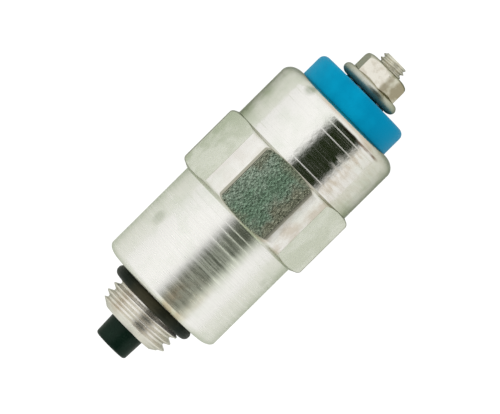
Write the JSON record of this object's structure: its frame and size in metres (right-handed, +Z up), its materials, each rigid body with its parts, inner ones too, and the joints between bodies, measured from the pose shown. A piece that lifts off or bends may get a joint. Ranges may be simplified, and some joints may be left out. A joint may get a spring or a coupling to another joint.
{
  "type": "injection pump valve",
  "caption": "Fuel shut-off solenoid valve: hexagon steel body, threaded nose with a sprung rubber-tipped plunger, and a capped terminal stud with nut.",
  "frame": {"origin": "on the resting surface, under the middle of the valve's length and its axis", "axes": "+X along the valve's axis from the plunger's tip towards the terminal stud, +Z up through the upper flat of the hexagon"},
  "size_m": [0.0672, 0.0274, 0.0254],
  "materials": {
    "zinc_plated_steel": "bright zinc plating over turning marks",
    "seal_rubber": "black rubber with a slight gloss",
    "tip_rubber": "very dark, smooth rubber",
    "core_iron": "turned soft iron",
    "spring_steel": "drawn spring wire",
    "brass": "turned and drawn brass",
    "coil_copper": "enamelled copper wire",
    "bobbin_nylon": "moulded natural nylon",
    "coil_tape": "amber insulating tape",
    "sleeve_plastic": "red insulating sleeve",
    "blue_nylon": "blue moulded nylon, satin",
    "terminal_steel": "plated steel, satin",
    "washer_steel": "darkened spring steel"
  },
  "bodies": {
    "housing": {"valve_body": "zinc_plated_steel", "body_o_ring": "seal_rubber", "return_spring": "spring_steel", "anti_stick_washer": "brass", "guide_tube": "brass", "guide_tube_o_ring": "seal_rubber", "coil_bobbin": "bobbin_nylon", "coil_winding": "coil_copper", "winding_tape": "coil_tape", "fixed_pole": "core_iron", "pole_o_ring": "seal_rubber", "flux_plate": "core_iron", "lead_wire": "coil_copper", "lead_sleeve": "sleeve_plastic", "earth_wire": "coil_copper", "terminal_cap": "blue_nylon", "cap_gasket": "seal_rubber", "terminal_stud": "terminal_steel", "stud_o_ring": "seal_rubber"},
    "plunger": {"plunger": "core_iron", "plunger_tip": "tip_rubber"},
    "washer": {"lock_washer": "washer_steel"},
    "nut": {"terminal_nut": "terminal_steel"}
  },
  "joints": [
    {"name": "plunger_slide", "type": "slide", "parent": "housing", "child": "plunger", "axis": [1, 0, 0], "range_m": [0, 0.0025], "stiffness_N_per_m": 800, "springref_m": -0.0025, "deforming": ["return_spring"]},
    {"name": "nut_travel", "type": "slide", "parent": "housing", "child": "washer", "axis": [1, 0, 0], "range_m": [0, 0.0056]},
    {"name": "nut_turn", "type": "hinge", "parent": "washer", "child": "nut", "pos_m": [0.026, 0, 0.0127], "axis": [1, 0, 0], "range_deg": [0, 2521]}
  ],
  "couplings": [
    {"joint": "nut_turn", "follows": "nut_travel", "rad_per_m": 7854}
  ]
}
